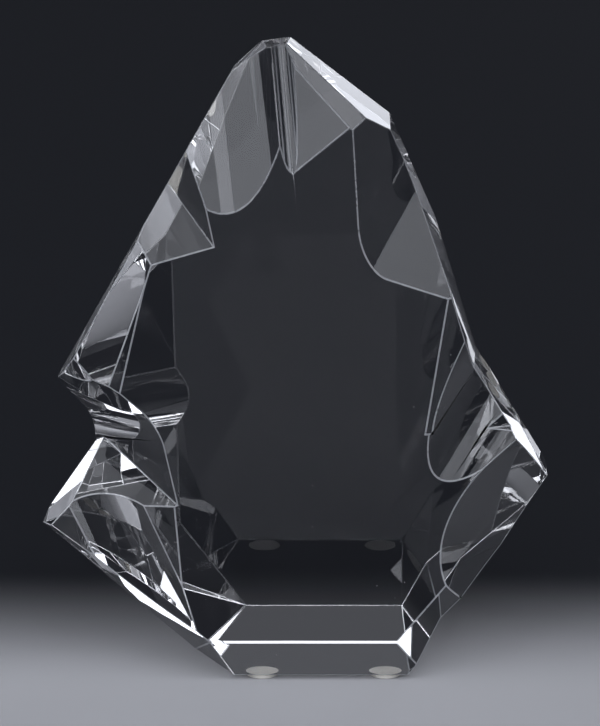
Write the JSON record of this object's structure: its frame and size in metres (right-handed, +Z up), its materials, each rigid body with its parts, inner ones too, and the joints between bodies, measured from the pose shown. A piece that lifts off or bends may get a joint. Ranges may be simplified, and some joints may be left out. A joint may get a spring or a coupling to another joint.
{
  "type": "crystal award",
  "caption": "Free-standing clear crystal award: a tall leaning block with flame-like hand-cut notches and scoops around a blank front face, standing on small stick-on bumper pads.",
  "frame": {"origin": "centre of the bounding box's bottom, on the surface it stands on", "axes": "+Z up, -Y out of the leaning front face's side, +X to the right seen from the front"},
  "size_m": [0.1708, 0.067, 0.2024],
  "materials": {
    "clear_crystal": "polished optical crystal",
    "bumper_vinyl": "matte cream",
    "adhesive_film": "soft adhesive"
  },
  "bodies": {
    "root": {"crystal_body": "clear_crystal", "bumper_pad_front_left": "bumper_vinyl", "pad_adhesive_front_left": "adhesive_film", "bumper_pad_front_right": "bumper_vinyl", "pad_adhesive_front_right": "adhesive_film", "bumper_pad_back_left": "bumper_vinyl", "pad_adhesive_back_left": "adhesive_film", "bumper_pad_back_right": "bumper_vinyl", "pad_adhesive_back_right": "adhesive_film"}
  },
  "joints": []
}
